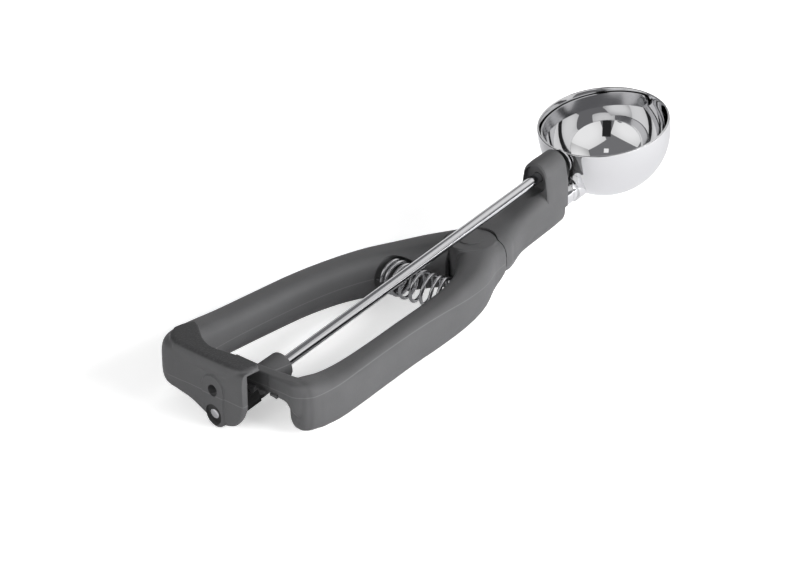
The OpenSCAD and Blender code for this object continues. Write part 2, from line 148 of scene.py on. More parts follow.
class Paint(NodeSketch):
    """A material in the making; its patterns lie on Object coordinates."""

    def __init__(self, name: str) -> None:
        """Starts an empty node material of that name.

        Args:
            name: Name of the material.
        """
        self.material = bpy.data.materials.new(name)
        self.material.use_nodes = True
        self.tree = self.material.node_tree
        self.tree.nodes.clear()
        self.place = self.add("ShaderNodeTexCoord", output="Object")

    def noise(self, size_mm: float, detail: float, **more: Any) -> Socket:
        """Adds a noise with spots of a real size."""
        return self.add("ShaderNodeTexNoise", {"Vector": self.place, "Scale": 1 / (size_mm * MM),
                                               "Detail": detail, **more})

    def remap(self, value: Socket, low: float, high: float) -> Socket:
        """Carries 0 and 1 to low and high."""
        return self.add("ShaderNodeMapRange", {0: value, 3: low, 4: high})

    def band(self, value: Socket, low: float, high: float) -> Socket:
        """Adds a soft step from 0 at low to 1 at high."""
        return self.add("ShaderNodeMapRange", {0: value, 1: low, 2: high, 3: 0.0, 4: 1.0},
                        interpolation_type="SMOOTHSTEP")

    def mix(self, share: Socket, first: Socket | str, second: Socket | str) -> Socket:
        """Mixes two colours, each a socket or a hex colour."""
        pair = [linear(c) if isinstance(c, str) else c for c in (first, second)]
        return self.add("ShaderNodeMix", {0: share, 6: pair[0], 7: pair[1]}, 2, data_type="RGBA")

    def bump(self, strength: Socket | float, distance_mm: float, height: Socket) -> Socket:
        """Adds a relief of a real depth."""
        return self.add("ShaderNodeBump", {"Strength": strength, "Distance": distance_mm * MM,
                                           "Height": height})

    def end(self, shader: Socket) -> Material:
        """Ends the tree with a shader and gives the material."""
        add_node(self.tree, "ShaderNodeOutputMaterial", {"Surface": shader})
        return self.material

    def surface(self, inputs: dict[str, Any]) -> Material:
        """Ends the tree with a Principled shader and gives the material."""
        return self.end(self.add("ShaderNodeBsdfPrincipled", inputs))


class Finish:
    """What every finish has in common: one material, made once."""

    label: str

    def material(self) -> Material:
        """Gives the finish's material, and makes it the first time."""
        return bpy.data.materials.get(self.label) or self.make()

    def make(self) -> Material:
        """Builds the material; each finish has its own way."""
        raise NotImplementedError


@dataclass(frozen=True)
class MouldedNylon(Finish):
    """Glass-filled nylon from a spark-eroded mould: dull, dark, with a fine even grain."""

    label: str = "glass_filled_nylon"
    colour: str = "4A4A4B"
    shade: str = "424243"
    # deck speckle colour: coarse grain, darkened further as painted shade of the top face
    coarse_shaded_top: str = "323233"
    # lighter tone painted along the seam: a painted highlight on the parting line
    seam_highlight: str = "707071"
    roughness: float = 0.5
    grain_mm: float = 0.45
    mottle_mm: float = 9.0
    grain_depth: float = 0.12
    # without a deck, its step lies a metre up, out of reach
    deck_low: float = 1.0
    deck_high: float = 1.1
    deck_front: float = 0.0
    field_end: float = 0.0
    parting_z: float = 0.0
    parting_rise: float = 0.0

    def make(self) -> Material:
        """Builds the nylon; a level above deck_low and behind deck_front is coarser and darker,
        part grain, part painted shade.

        Returns:
            The material.
        """
        s = Paint(self.label)
        x, y, z = add_node(s.tree, "ShaderNodeSeparateXYZ", {0: s.place}).outputs
        grain = s.noise(self.grain_mm, 2.5, Roughness=0.6)
        coarse = s.noise(1.7 * self.grain_mm, 3.0, Roughness=0.7)
        mottle = s.noise(self.mottle_mm, 3.0)
        deck = s.maths("MULTIPLY", s.band(z, self.deck_low, self.deck_high),
                       s.band(x, self.deck_front + 0.5 * MM, self.deck_front))
        # the roughest field ends before the corner that leads to the arm
        field = s.maths("MULTIPLY", deck, s.band(y, self.field_end + 6 * MM, self.field_end))
        # the mould parts a little higher along the arm than round the gear's end
        level = s.add("ShaderNodeMapRange",
                      {0: x, 1: self.deck_front - 16 * MM, 2: self.deck_front,
                       3: self.parting_z, 4: self.parting_z + self.parting_rise})
        # the mould's halves leave a line a quarter of a millimetre wide
        seam = s.band(s.maths("ABSOLUTE", s.maths("SUBTRACT", z, level)), 0.24 * MM, 0.06 * MM)
        tone = s.mix(mottle, self.shade, self.colour)
        # the seam is painted lighter: a painted highlight along the parting line
        tone = s.mix(s.maths("MULTIPLY", seam, 0.3), tone, self.seam_highlight)
        # the deck's darker speckle is partly its coarse grain and partly painted shade of the top
        # face
        speckle_and_top_shade = s.mix(s.band(coarse, 0.4, 0.95), self.coarse_shaded_top, self.colour)
        grit = s.add("ShaderNodeMix", {0: field, 2: grain, 3: coarse})
        bump = s.bump(s.remap(field, self.grain_depth, 0.5), 0.3, s.maths("SUBTRACT", grit, seam))
        rough = s.remap(grain, self.roughness - 0.05, self.roughness + 0.08)
        return s.surface({"Base Color": s.mix(deck, tone, speckle_and_top_shade),
                          "Roughness": s.maths("MULTIPLY_ADD", deck, 0.2, rough),
                          "IOR": 1.53, "Specular IOR Level": 0.32, "Normal": bump})


@dataclass(frozen=True)
class Metal(Finish):
    """A bare metal whose fine marks run along one direction."""

    label: str
    colour: str
    roughness: float
    mark_mm: float = 0.5
    stretch: tuple[float, float, float] = (1.0, 1.0, 1.0)
    mark_depth: float = 0.02
    cloud: float = 0.02

    def make(self) -> Material:
        """Builds the metal from its colour, a cloudy roughness and stretched fine marks.

        Returns:
            The material.
        """
        s = Paint(self.label)
        run = s.add("ShaderNodeMapping", {0: s.place, "Scale": self.stretch})
        marks = s.noise(self.mark_mm, 3.0, Vector=run)
        rough = s.remap(s.noise(12, 2.0), max(self.roughness - self.cloud, 0.0),
                        self.roughness + self.cloud)
        return s.surface({"Base Color": linear(self.colour), "Metallic": 1.0, "Roughness": rough,
                          "Normal": s.bump(self.mark_depth, 0.05, marks)})


@dataclass(frozen=True)
class Acetal(Finish):
    """Moulded or turned acetal: a slippery bearing plastic with a low even sheen."""

    label: str
    colour: str
    roughness: float = 0.38

    def make(self) -> Material:
        """Builds the acetal with a slight waviness from moulding.

        Returns:
            The material.
        """
        s = Paint(self.label)
        wave = s.noise(1.6, 2.0)
        return s.surface({"Base Color": linear(self.colour), "IOR": 1.48,
                          "Roughness": s.remap(wave, self.roughness - 0.06,
                                               self.roughness + 0.08),
                          "Normal": s.bump(0.08, 0.1, wave)})


# mirror-polished stainless steel, buffed until the room shows in it
MIRROR_STEEL = Metal("mirror_polished_stainless", "E4E4E5", 0.035, cloud=0.015)
# ground and polished rod: faint marks run round it
ROD_STEEL = Metal("ground_stainless_rod", "D6D6D8", 0.09, mark_mm=0.4, stretch=(6, 1, 1),
                  mark_depth=0.05)
# stamped strip with a soft satin from tumbling
STRIP_STEEL = Metal("tumbled_stainless_strip", "C9C9CB", 0.16, mark_mm=0.6, mark_depth=0.04,
                    cloud=0.05)
# drawn spring wire with a dull sheen
WIRE_STEEL = Metal("drawn_spring_wire", "CFCFD1", 0.26, mark_mm=0.3, mark_depth=0.08, cloud=0.05)
# machined pins: turning marks that break up the highlight
PIN_STEEL = Metal("turned_steel_pin", "BFC0C2", 0.24, mark_mm=0.3, stretch=(1, 1, 5),
                  mark_depth=0.06, cloud=0.05)
# sleeve and gear: near black, with a broad dull highlight
BLACK_ACETAL = Acetal("black_acetal", "1B1B1C")
# washer: milky white, a little duller
WHITE_ACETAL = Acetal("natural_acetal", "E6E4DC", 0.42)


# ---------------------------------------------------------------- frames and meshes


@dataclass(frozen=True)
class Place:
    """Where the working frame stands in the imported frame, and how the rod is tilted."""

    shift: Vector
    tilt: float
    hinge: Vector

    @staticmethod
    def from_frame(frame: dict[str, Any]) -> Place:
        """Reads the bowl's centre, the rod's tilt and the hinge from the joints.


        Returns:
            The place.
        """
        joints = {joint["name"]: joint for joint in frame["joints"]}
        shift = Vector(joints["blade_sweep"]["pos_m"]) / MM
        axis = joints["blade_sweep"]["axis"]
        hinge = Vector(joints["lever_squeeze"]["pos_m"]) / MM - shift
        return Place(shift, math.atan2(-axis[2], -axis[0]), hinge)

    def rod(self) -> Matrix:
        """Gives the turn from the rod's frame into the working frame."""
        return Matrix.Rotation(-self.tilt, 4, "Y")

    def raised(self, up: float) -> Matrix:
        """Gives the rod's frame, lifted square to the rod."""
        return self.rod() @ Matrix.Translation((0, 0, up))

    def at_hinge(self) -> Matrix:
        """Gives the move from the hinge's middle into the working frame."""
        return Matrix.Translation(self.hinge)

    def settle(self, thing: Thing) -> None:
        """Moves a mesh from the working millimetres into metres; its object stays at the origin."""
        thing.data.transform(Matrix.Scale(MM, 4) @ Matrix.Translation(self.shift))


def link(name: str, data: bpy.types.ID) -> Thing:
    """Makes an object of its data and links it to the scene.

    Args:
        name: Name of the object.
        data: Its mesh, camera or light.

    Returns:
        The new object.
    """
    thing = bpy.data.objects.new(name, data)
    bpy.context.scene.collection.objects.link(thing)
    return thing


def raw_piece(name: str, mesh: Shape) -> Thing:
    """Turns a bmesh, which is freed, into a linked object.

    Args:
        name: Name of the object and its mesh.
        mesh: The bmesh.

    Returns:
        The new object.
    """
    data = bpy.data.meshes.new(name)
    mesh.to_mesh(data)
    mesh.free()
    return link(name, data)


def piece(name: str, mesh: Shape) -> Thing:
    """Turns a bmesh, which is freed, into a linked object with outward faces."""
    bmesh.ops.recalc_face_normals(mesh, faces=mesh.faces[:])
    return raw_piece(name, mesh)


def taken_up(thing: Thing) -> Shape:
    """Turns a helper object back into a bmesh and removes it.

    Args:
        thing: The helper object.

    Returns:
        The bmesh.
    """
    mesh = bmesh.new()
    mesh.from_mesh(thing.data)
    bpy.data.meshes.remove(thing.data)
    return mesh


def ring_skin(rings: Sequence[Sequence[Vector]]) -> Shape:
    """Skins a closed tube over rings with equal numbers of points.

    Args:
        rings: The rings, in order; the first and last are closed by flat caps.

    Returns:
        The bmesh.
    """
    mesh = bmesh.new()
    rows = [[mesh.verts.new(p) for p in ring] for ring in rings]
    count = len(rows[0])
    for low, high in zip(rows, rows[1:]):
        for k in range(count):
            mesh.faces.new((low[k], low[(k + 1) % count], high[(k + 1) % count], high[k]))
    mesh.faces.new(rows[0][::-1])
    mesh.faces.new(rows[-1])
    return mesh


def lathe(profile: Sequence[tuple[float, float]], turn: Matrix,
          steps: int = 96) -> Shape:
    """Turns a profile of (along, radius) points about X.

    Args:
        profile: Points from the rear to the front; a radius of 0 closes an end to a pole.
        turn: Carries the shape from the X axis to its place.
        steps: Number of faces round.

    Returns:
        The bmesh.
    """
    mesh = bmesh.new()
    rows = []
    for along, radius in profile:
        if radius == 0:
            rows.append([mesh.verts.new(turn @ Vector((along, 0, 0)))] * steps)
            continue
        rows.append([mesh.verts.new(turn @ Vector((along, radius * math.cos(a),
                                                   radius * math.sin(a))))
                     for a in np.linspace(0, 2 * math.pi, steps, endpoint=False)])
    for low, high in zip(rows, rows[1:]):
        for k in range(steps):
            corners = (low[k], low[(k + 1) % steps], high[(k + 1) % steps], high[k])
            mesh.faces.new(tuple(dict.fromkeys(corners)))
    for end in (rows[0], rows[-1]):
        if end[0] is not end[1]:
            mesh.faces.new(end)
    return mesh


def round_bar(start: float, length: float, radius: float, turn: Matrix) -> Shape:
    """Makes a round bar along X, from start, and carries it to its place."""
    return lathe([(start, radius), (start + length, radius)], turn, 64)


def prism(outline: Sequence[tuple[float, float]], low: float, high: float,
          turn: Matrix | None = None) -> Shape:
    """Extrudes an outline along Z.

    Args:
        outline: Points (x, y).
        low: Lower level.
        high: Upper level.
        turn: Carries it to its place.

    Returns:
        The bmesh.
    """
    turn = turn or Matrix.Identity(4)
    return ring_skin([[turn @ Vector((x, y, z)) for x, y in outline] for z in (low, high)])


def box(x: tuple[float, float], y: tuple[float, float], z: tuple[float, float],
        turn: Matrix | None = None) -> Shape:
    """Makes a box between the given levels along each axis."""
    return prism([(x[0], y[0]), (x[1], y[0]), (x[1], y[1]), (x[0], y[1])], *z, turn)


def wrapped(points: Iterable[Vector]) -> Shape:
    """Makes the tightest convex skin over points.

    Args:
        points: The points.

    Returns:
        The bmesh.
    """
    mesh = bmesh.new()
    for point in points:
        mesh.verts.new(point)
    result = bmesh.ops.convex_hull(mesh, input=mesh.verts[:])
    spare = {v for v in result["geom_interior"] + result["geom_unused"]
             if isinstance(v, bmesh.types.BMVert)}
    bmesh.ops.delete(mesh, geom=list(spare), context="VERTS")
    return mesh


def circle_points(x: float, y: float, z: float, radius: float, steps: int = 48) -> list[Vector]:
    """Gives points on a circle that faces along X."""
    return [Vector((x, y + radius * math.cos(a), z + radius * math.sin(a)))
            for a in np.linspace(0, 2 * math.pi, steps, endpoint=False)]


def arc(radius: float, start: float, end: float, steps: int = 40) -> list[tuple[float, float]]:
    """Gives plan points on an arc round the origin, from one angle to another in degrees."""
    return [(radius * math.cos(a), radius * math.sin(a))
            for a in np.radians(np.linspace(start, end, steps))]


def moulded_bar(rows: Sequence[Row], per_row: int = 10, around: int = 56) -> Shape:
    """Sweeps an upright rounded section through rows.

    Args:
        rows: (x, y, z, width, height, squareness) of each section.
        per_row: Rings from one row to the next.
        around: Points round a ring.

    Returns:
        The bmesh.
    """
    table = np.array(rows, float)
    last = len(table) - 1

    def through(t: float) -> np.ndarray:
        """Gives the curve's values at t, counted in rows.

        Args:
            t: Where on the curve, counted in rows.

        Returns:
            x, y, z, width, height and squareness there.
        """
        t = min(max(t, 0.0), float(last))
        i = min(int(t), last - 1)
        f = t - i
        p0, p1, p2, p3 = (table[min(max(k, 0), last)] for k in (i - 1, i, i + 1, i + 2))
        return 0.5 * (2 * p1 + (p2 - p0) * f + (2 * p0 - 5 * p1 + 4 * p2 - p3) * f * f
                      + (3 * p1 - p0 - 3 * p2 + p3) * f ** 3)

    rings = []
    for i in range(last * per_row + 1):
        t = i / per_row
        x, y, z, width, height, square = through(t)
        ahead = through(t + 0.1)[:2] - through(t - 0.1)[:2]
        dx, dy = ahead / np.linalg.norm(ahead)
        ring = []
        for a in np.linspace(0, 2 * math.pi, around, endpoint=False):
            c, s = math.cos(a), math.sin(a)
            side = math.copysign(abs(c) ** (2 / square), c) * width / 2
            up = math.copysign(abs(s) ** (2 / square), s) * height / 2
            ring.append(Vector((x - dy * side, y + dx * side, z + up)))
        rings.append(ring)
    return ring_skin(rings)


class Cut(Enum):
    """How one solid meets another."""

    TAKE_AWAY = "DIFFERENCE"
    ADD = "UNION"


def apply_modifiers(thing: Thing) -> None:
    """Bakes an object's modifiers into a new plain mesh.

    Args:
        thing: The object.
    """
    graph = bpy.context.evaluated_depsgraph_get()
    made = bpy.data.meshes.new_from_object(thing.evaluated_get(graph))
    thing.modifiers.clear()
    old, thing.data = thing.data, made
    made.name = thing.name
    bpy.data.meshes.remove(old)


def combine(thing: Thing, how: Cut, tools: Iterable[Shape]) -> None:
    """Adds or takes away closed shapes, one by one.

    Args:
        thing: The object that is changed.
        how: What each shape does to it.
        tools: The shapes, which are used up.
    """
    helpers = []
    for shape in tools:
        helper = piece("tool_shape", shape)
        modifier = thing.modifiers.new("cut", "BOOLEAN")
        modifier.object = helper
        modifier.operation = how.value
        modifier.solver = "MANIFOLD"
        helpers.append(helper)
    apply_modifiers(thing)
    for helper in helpers:
        bpy.data.meshes.remove(helper.data)


def mould(name: str, shells: Iterable[Shape], voxel: float, passes: int,
          kept: float) -> Thing:
    """Melts overlapping shells into one skin with soft inside and outside corners.

    Args:
        name: Name of the piece.
        shells: Closed shells that overlap.
        voxel: Size of the skin's facets.
        passes: How often the skin is smoothed.
        kept: Share of the facets that stay once the skin is smooth.

    Returns:
        The new object.
    """
    whole = bmesh.new()
    for shell in shells:
        bmesh.ops.recalc_face_normals(shell, faces=shell.faces[:])
        part = bpy.data.meshes.new("shell")
        shell.to_mesh(part)
        shell.free()
        whole.from_mesh(part)
        bpy.data.meshes.remove(part)
    thing = raw_piece(name, whole)
    remesh = thing.modifiers.new("skin", "REMESH")
    remesh.mode = "VOXEL"
    remesh.voxel_size = voxel
    smooth = thing.modifiers.new("soften", "SMOOTH")
    smooth.factor = 0.5
    smooth.iterations = passes
    thin = thing.modifiers.new("thin_out", "DECIMATE")
    thin.ratio = kept
    apply_modifiers(thing)
    return thing


def dress(thing: Thing, finish: Finish, crease: float = 32.0) -> None:
    """Gives a piece its material, smooth shading and sharp creases.

    Args:
        thing: The piece.
        finish: Its finish.
        crease: Angle between faces, in degrees, above which an edge stays sharp.
    """
    thing.data.materials.clear()
    thing.data.materials.append(finish.material())
    thing.data.polygons.foreach_set("material_index", [0] * len(thing.data.polygons))
    thing.data.shade_smooth()
    thing.data.set_sharp_from_angle(angle=math.radians(crease))


def hand_over(thing: Thing, body: str, slot: str, *nodes: str) -> None:
    """Lets a finished piece stand for CAD nodes and ride on their body.

    Args:
        thing: The piece.
        body: The body it rides on.
        slot: Not used.
        nodes: The CAD nodes that it replaces.
    """
    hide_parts(*nodes)
    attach(thing, body)
    LOG.info("%s: %d faces", thing.name, len(thing.data.polygons))


# ---------------------------------------------------------------- geometry node trees


class NodeShape(NodeSketch):
    """A Geometry Nodes tree with named inputs, turned into a plain mesh."""

    def __init__(self, name: str, inputs: dict[str, tuple[str, Any]]) -> None:
        """Starts the tree.

        Args:
            name: Name of the tree.
            inputs: Input name to (socket type, value).
        """
        self.tree = bpy.data.node_groups.new(name, "GeometryNodeTree")
        face = self.tree.interface
        face.new_socket("Geometry", in_out="OUTPUT", socket_type="NodeSocketGeometry")
        face.new_socket("Geometry", in_out="INPUT", socket_type="NodeSocketGeometry")
        self.values = {}
        for label, (kind, value) in inputs.items():
            self.values[face.new_socket(label, in_out="INPUT", socket_type=kind).identifier] = value
        self.given = add_node(self.tree, "NodeGroupInput").outputs

    def finish(self, geometry: Socket, material: Material) -> None:
        """Ends the tree with Realize Instances and Set Material.

        Args:
            geometry: What the tree has made.
            material: Its material.
        """
        real = add_node(self.tree, "GeometryNodeRealizeInstances", {0: geometry})
        painted = add_node(self.tree, "GeometryNodeSetMaterial",
                           {"Geometry": real.outputs[0], "Material": material})
        add_node(self.tree, "NodeGroupOutput", {0: painted.outputs[0]})

    def build(self, thing: Thing) -> Thing:
        """Runs the tree on an object's mesh, keeps the plain mesh and gives the object.

        Args:
            thing: The object; its mesh is the tree's first input.

        Returns:
            The same object.
        """
        modifier = thing.modifiers.new(self.tree.name, "NODES")
        modifier.node_group = self.tree
        for identifier, value in self.values.items():
            modifier[identifier] = value
        apply_modifiers(thing)
        return thing


def turned_copies(count: int, step: float, first: float,
                  material: Material) -> NodeShape:
    """Makes a tree that repeats a shape round the Z axis.

    Args:
        count: Number of copies.
        step: Angle between two copies, in radians.
        first: Angle of the first copy.
        material: The copies' material.

    Returns:
        The tree's wrapper.
    """
    shape = NodeShape("turned_copies", {"Count": ("NodeSocketInt", count),
                                        "Step": ("NodeSocketFloat", step),
                                        "First": ("NodeSocketFloat", first)})
    given = shape.given
    points = shape.add("GeometryNodePoints", {"Count": given["Count"]})
    angle = shape.maths("MULTIPLY_ADD", shape.add("GeometryNodeInputIndex"), given["Step"],
                        given["First"])
    copies = shape.add("GeometryNodeInstanceOnPoints",
                       {"Points": points, "Instance": given["Geometry"],
                        "Rotation": shape.add("ShaderNodeCombineXYZ", {2: angle})})
    shape.finish(copies, material)
    return shape


# ---------------------------------------------------------------- the tool's sizes


@dataclass(frozen=True)
class Sizes:
    """Driving sizes that several pieces share, in millimetres."""

    bowl_r: float = 25.0
    wall: float = 0.8
    blade_gap: float = 0.45
    blade_half: float = 2.7
    band: float = 3.6
    rod_r: float = 2.0
    tilt_deg: float = 10.5
    rod_reach: float = 207.0
    rod_tail: float = 0.65
    run_fit: float = 0.05
    gear_module: float = 1.5
    teeth: int = 7
    addendum: float = 0.42
    dedendum: float = 0.52
    tooth_play: float = 0.2
    pressure_deg: float = 30.0
    gear_room: float = 0.5
    rack_r: float = 115.2
    rack_t: float = 5.0
    rack_top: float = -22.8
    rack_teeth: int = 5
    eye_r: float = 9.4
    eye_half: float = 9.0
    eye_bevel: float = 2.4
    eye_gap: float = 0.35
    cheek_gap: float = 0.3
    melt: float = 0.6
    cap_r: float = 4.4
    cap_sunk: float = 0.4
    pin_bore: float = 2.55
    tongue: float = 6.4
    tower_x: float = -29.5
    tower_l: float = 10.5
    house_rear: float = -204.2
    house_top: float = -17.5
    wall_rear: float = 2.4
    web_x: float = -185.4
    web_t: float = 3.5
    socket_up: float = 9.1
    socket_r: float = 2.1
    journal_r: float = 3.7
    stem_r: float = 4.9
    stem_z: float = -13.6
    stem_sunk: float = 9.0
    bush_r: float = 3.4
    bush_sunk: float = 2.0
    tower_fit: float = 0.15
    closed: float = math.radians(7.3)
    wire: float = 1.3
    coil: float = 10.6
    curls: int = 8
    flare: float = 1.2
    seat_room: float = 0.6
    spring_from: tuple[float, float, float] = (-98.8, 18.0, -30.2)
    spring_bow: tuple[float, float, float] = (-100.4, 4.0, -30.6)
    spring_to: tuple[float, float, float] = (-95.0, -9.6, -31.0)

    @property
    def pitch_r(self) -> float:
        """Pitch radius of the pinion."""
        return self.teeth * self.gear_module / 2

    @property
    def tip_r(self) -> float:
        """Tip radius of the pinion."""
        return self.pitch_r + self.addendum * self.gear_module

    @property
    def blade_r(self) -> float:
        """Outer radius of the sweeping blade, which is also where the rod ends."""
        return math.sqrt((self.bowl_r - self.wall - self.blade_gap) ** 2 - self.blade_half ** 2)

    @property
    def tower_at(self) -> float:
        """The tower's front face, measured along the rod."""
        return self.tower_x / math.cos(math.radians(self.tilt_deg))

    @property
    def seat_r(self) -> float:
        """Radius of the spring's round seats."""
        return self.coil / 2 + self.wire / 2 + self.seat_room

    def seat(self, end: tuple[float, float, float]) -> Matrix:
        """Gives the frame of the seat at one end: its X leaves the seat along the spring.

        Args:
            end: One of the spring's two ends.

        Returns:
            The frame.
        """
        along = Vector(self.spring_bow) - Vector(end)
        return (Matrix.Translation(end)
                @ X_AXIS.rotation_difference(along).to_matrix().to_4x4())


@dataclass
class Assembly:
    """What every sub-assembly has: the shared sizes and its place."""

    sizes: Sizes
    place: Place

    def deliver(self, thing: Thing, finish: Finish, body: str, slot: str,
                node: str) -> None:
        """Moves a built piece into the frame, dresses it and hands it over.

        Args:
            thing: The piece, still in the working millimetres.
            finish: Its finish.
            body: The body it rides on.
            slot: The record's material slot.
            node: The CAD node that it replaces.
        """
        self.place.settle(thing)
        dress(thing, finish)
        hand_over(thing, body, slot, node)


# ---------------------------------------------------------------- fixed half


@dataclass
class FixedHalf(Assembly):
    """The fixed moulding: left arm, gear housing, neck and tower."""

    finish: Finish
    voxel: float = 0.32
    passes: int = 6
    kept: float = 0.5
    rows: tuple[Row, ...] = (
        (-199.6, -13.9, -25.2, 9.2, 13.2, 5), (-199.6, -12.2, -27.2, 9.2, 17.0, 5),
        (-199.6, -9.8, -28.8, 9.2, 20.0, 5), (-199.6, -7.2, -29.8, 9.2, 22.0, 5),
        (-199.6, -3, -30.3, 9.2, 23.0, 5), (-199.6, 2, -30.3, 9.2, 22.8, 5),
        (-199.6, 5.5, -29.5, 9.2, 21.2, 5), (-199.6, 12, -28.1, 9.2, 18.6, 5),
        (-199.6, 18, -27.4, 9.8, 17.4, 4.5), (-198.8, 22.6, -27.3, 11.0, 16.6, 4),
        (-194.6, 25.8, -27.6, 11.6, 15.8, 3.8), (-189, 27.6, -28.2, 12.2, 15.2, 3.4),
        (-182, 28.6, -28.9, 12.6, 15.2, 3.2), (-170, 29.4, -29.6, 12.4, 14.8, 3.2),
        (-152, 29.8, -29.8, 12.4, 14.8, 3.2), (-134, 29.6, -29.8, 12.6, 15.0, 3.2),
        (-118, 28.0, -30.0, 12.8, 15.6, 3.2), (-104, 24.6, -30.2, 13.4, 16.8, 3.2),
        (-93, 18.8, -29.8, 14.6, 17.4, 3.4), (-83, 11.4, -28.6, 17.0, 17.8, 3.4),
        (-73, 2.4, -27.8, 23.4, 17.8, 3.4), (-68, 0.4, -26.2, 24.2, 15.2, 2.9),
        (-62, 0.1, -26.0, 19.4, 16.4, 3.3),
        (-54, 0, -24.2, 14.6, 15.2, 3.2), (-44, 0, -21.5, 14.0, 16.6, 3.2),
        (-35, 0, -19.4, 14.0, 17.2, 3.2), (-29.6, 0, -18.6, 13.4, 16.2, 3.2))
    deck_plan: tuple[tuple[float, float], ...] = (
        (-200.6, -13.6), (-196.4, -13.8), (-195.0, -12.4), (-194.9, -9), (-195.1, -4.8),
        (-195.8, -1.4), (-196.5, 2.0), (-197.1, 5.2), (-197.1, 8.4), (-196.1, 11.4),
        (-194.5, 14.8), (-191.6, 18.8), (-188.7, 22.6), (-187.4, 25.6), (-189.6, 28.0),
        (-194.8, 28.4), (-199.0, 26.5), (-202.2, 23.4), (-204.0, 19.4), (-204.3, 10),
        (-204.2, 0), (-204.2, -6), (-203.6, -9.6), (-202.6, -12.4))
    deck_edge: tuple[tuple[float, float], ...] = (
        (0, -4.5), (0, -2.4), (0.15, -1.6), (0.5, -0.9), (1.1, -0.3), (1.9, 0))
    # middle and half size of the deck's plan, about which its edge draws in
    deck_middle: tuple[float, float] = (-199, 8)
    deck_half: tuple[float, float] = (5, 21)

    def deck(self) -> Shape:
        """Makes the deck over the gear: well rounded behind, nearly sharp in front.

        Returns:
            The bmesh.
        """
        (mid_x, mid_y), (half_x, half_y) = self.deck_middle, self.deck_half
        rings = []
        for inset, drop in self.deck_edge:
            ring = []
            for x, y in self.deck_plan:
                soft = inset if x < -198 or y > 26 else 0.3 * inset
                ring.append(Vector((mid_x + (x - mid_x) * (1 - soft / half_x),
                                    mid_y + (y - mid_y) * (1 - soft / half_y),
                                    self.sizes.house_top + drop)))
            rings.append(ring)
        return ring_skin(rings)

    def pad(self) -> Shape:
        """Makes the bevelled pad round the socket and the rod's end.

        Returns:
            The bmesh.
        """
        s = self.sizes
        foot = -s.rod_reach * math.sin(self.place.tilt)
        points = []
        for y, z, radius in ((-0.4, foot, 4.9), (0.2, foot + s.socket_up, 6.2)):
            for dx, inset in ((-0.45, 1.1), (0.5, 0), (4.3, 0)):
                points += circle_points(s.house_rear + dx, y, z, radius - inset)
        return wrapped(points)

    def tower(self) -> Shape:
        """Makes the tower: arches round the rod, higher in front.

        Returns:
            The bmesh.
        """
        s = self.sizes
        rear = s.tower_x - s.tower_l
        points = []
        for x, z, radius, width in ((rear, -6.8, 5.2, 12.4), (rear + 0.5, -6.5, 5.6, 13.2),
                                    (rear + 3, -6.0, 5.8, 13.6),
                                    (s.tower_x + 0.6, -4.7, 5.7, 13.6),
                                    (s.tower_x + 1.2, -4.7, 5.2, 13)):
            points += circle_points(x, 0, z, radius)
            points += [Vector((x, side * width / 2, z - drop)) for side in (-1, 1)
                       for drop in (radius, 15)]
        return wrapped(points)

    def nose(self) -> Shape:
        """Makes the bearing nose that the rod leaves the housing by.

        Returns:
            The bmesh.
        """
        start = self.sizes.web_x / math.cos(self.place.tilt)
        profile = [(start, 5.3), (start + 13, 5.0)]
        profile += [(start + 13 + 1.5 * math.sin(a), 3.6 + 1.4 * math.cos(a))
                    for a in np.linspace(0.2, math.pi / 2, 6)]
        return lathe(profile, self.place.rod(), 64)

    def web(self) -> Shape:
        """Makes the web that joins the nose to the arm.

        Returns:
            The bmesh.
        """
        s, rod = self.sizes, self.place.rod()
        start = s.web_x / math.cos(self.place.tilt) + 0.9
        points = [rod @ p for x in (start, start + s.web_t - 0.8)
                  for p in circle_points(x, 0, -0.6, 4.6)]
        points += [Vector((s.web_x + dx, 22 + dy, -36 + dz)) for dx in (0, s.web_t)
                   for dy in (0, 4) for dz in (0, 6)]
        return wrapped(points)

    def hinge_seats(self) -> list[Shape]:
        """Makes the room for the lever's cheeks and the gap round the tongue, to take away.

        Returns:
            The shapes to take away.
        """
        s = self.sizes
        wide = s.eye_r + s.eye_gap
        outer = arc(wide, 167, -46.2) + [(6.95, -40), (-40, -40), (-40, 2.2)]
        inner = ([(-40, -40), (-40, 2.2)] + arc(wide, 167, 101.8, 20)
                 + arc(s.eye_r - s.melt, 103.1, 333, 60) + arc(wide, -24.2, -46.2, 8)
                 + [(6.75, -40)])
        half = s.tongue / 2
        turn = self.place.at_hinge()
        return [prism(outer, half, 25, turn), prism(outer, -25, -half, turn),
                prism(inner, -half - 0.2, half + 0.2, turn)]

    def openings(self) -> list[Shape]:
        """Makes the bores, the recess behind the tower and the spring's seat, to take away.

        Returns:
            The shapes to take away.
        """
        s, rod = self.sizes, self.place.rod()
        recess = [(-48.5, 2.4), (-47, 4.2), (-45, 5.1), (-40, 5.3), (-39, 5.2), (-38.6, 4.9),
                  (-38.5, 4.4)]
        rear = -s.rod_reach
        return [round_bar(s.tower_at - s.bush_sunk, 12, s.bush_r, rod),
                round_bar(-60, 60, s.rod_r + s.tower_fit, rod),
                lathe(recess, rod, 64),
                round_bar(rear - 2, 42, s.rod_r + s.run_fit, rod),
                round_bar(rear - 2, 6.4, s.journal_r + s.run_fit, rod),
                round_bar(rear + s.wall_rear, 15.8, s.tip_r + s.gear_room, rod),
                round_bar(s.tower_at - s.stem_sunk, 30, s.stem_r, self.place.raised(s.stem_z)),
                round_bar(rear - 4, 12, s.socket_r, self.place.raised(s.socket_up)),
                round_bar(0, 12, s.seat_r * s.flare, s.seat(s.spring_from))]

